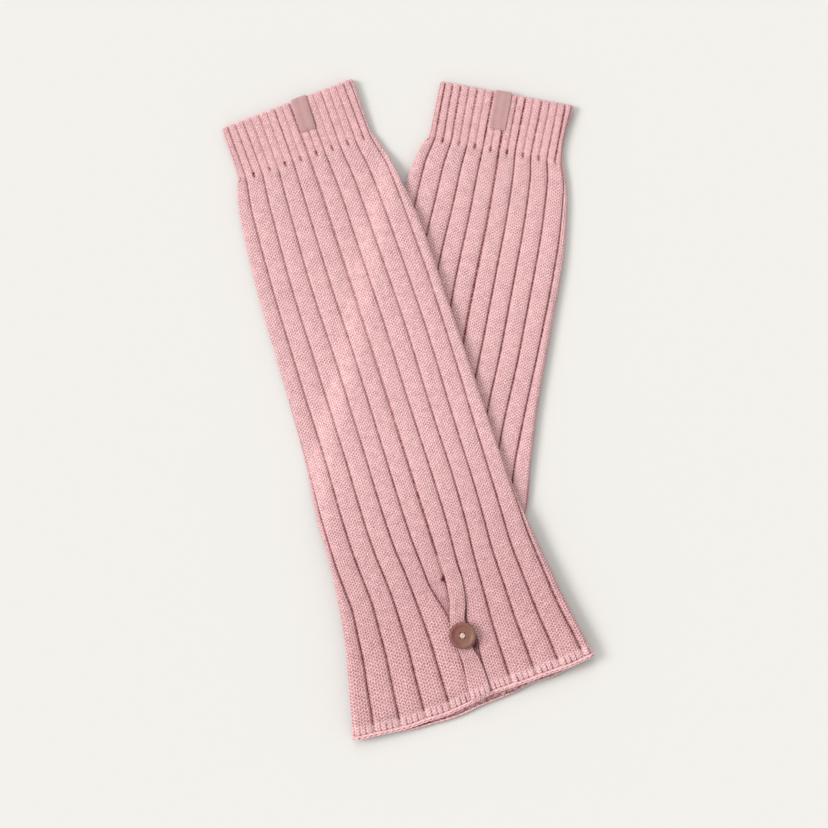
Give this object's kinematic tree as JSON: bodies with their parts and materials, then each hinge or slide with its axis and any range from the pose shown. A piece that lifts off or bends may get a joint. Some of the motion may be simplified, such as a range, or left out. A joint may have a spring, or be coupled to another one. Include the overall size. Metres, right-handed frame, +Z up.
{
  "type": "pair of leg warmers",
  "caption": "Pair of broad-ribbed knit leg warmers with fine-ribbed cuffs, flared hems and a buttoned hem vent, lying flat and crossed.",
  "frame": {"origin": "centre of the pair's outline, on the flat surface under it", "axes": "+X across the pair towards the lower leg warmer's cuff, +Y from the hems to the cuffs, +Z up from the surface"},
  "size_m": [0.2412, 0.4298, 0.0187],
  "materials": {
    "rib_knit": "soft matt rib knit, dusty pink",
    "label_ribbon": "plain woven ribbon, satin, greyed pink",
    "button": "turned, mauve brown, half gloss",
    "sewing_thread": "pale pink thread"
  },
  "bodies": {
    "root": {"upper_cuff": "rib_knit", "upper_leg": "rib_knit", "upper_placket": "rib_knit", "upper_hem": "rib_knit", "upper_label": "label_ribbon", "upper_button": "button", "upper_button_thread": "sewing_thread", "lower_cuff": "rib_knit", "lower_leg": "rib_knit", "lower_hem": "rib_knit", "lower_label": "label_ribbon"}
  },
  "joints": []
}
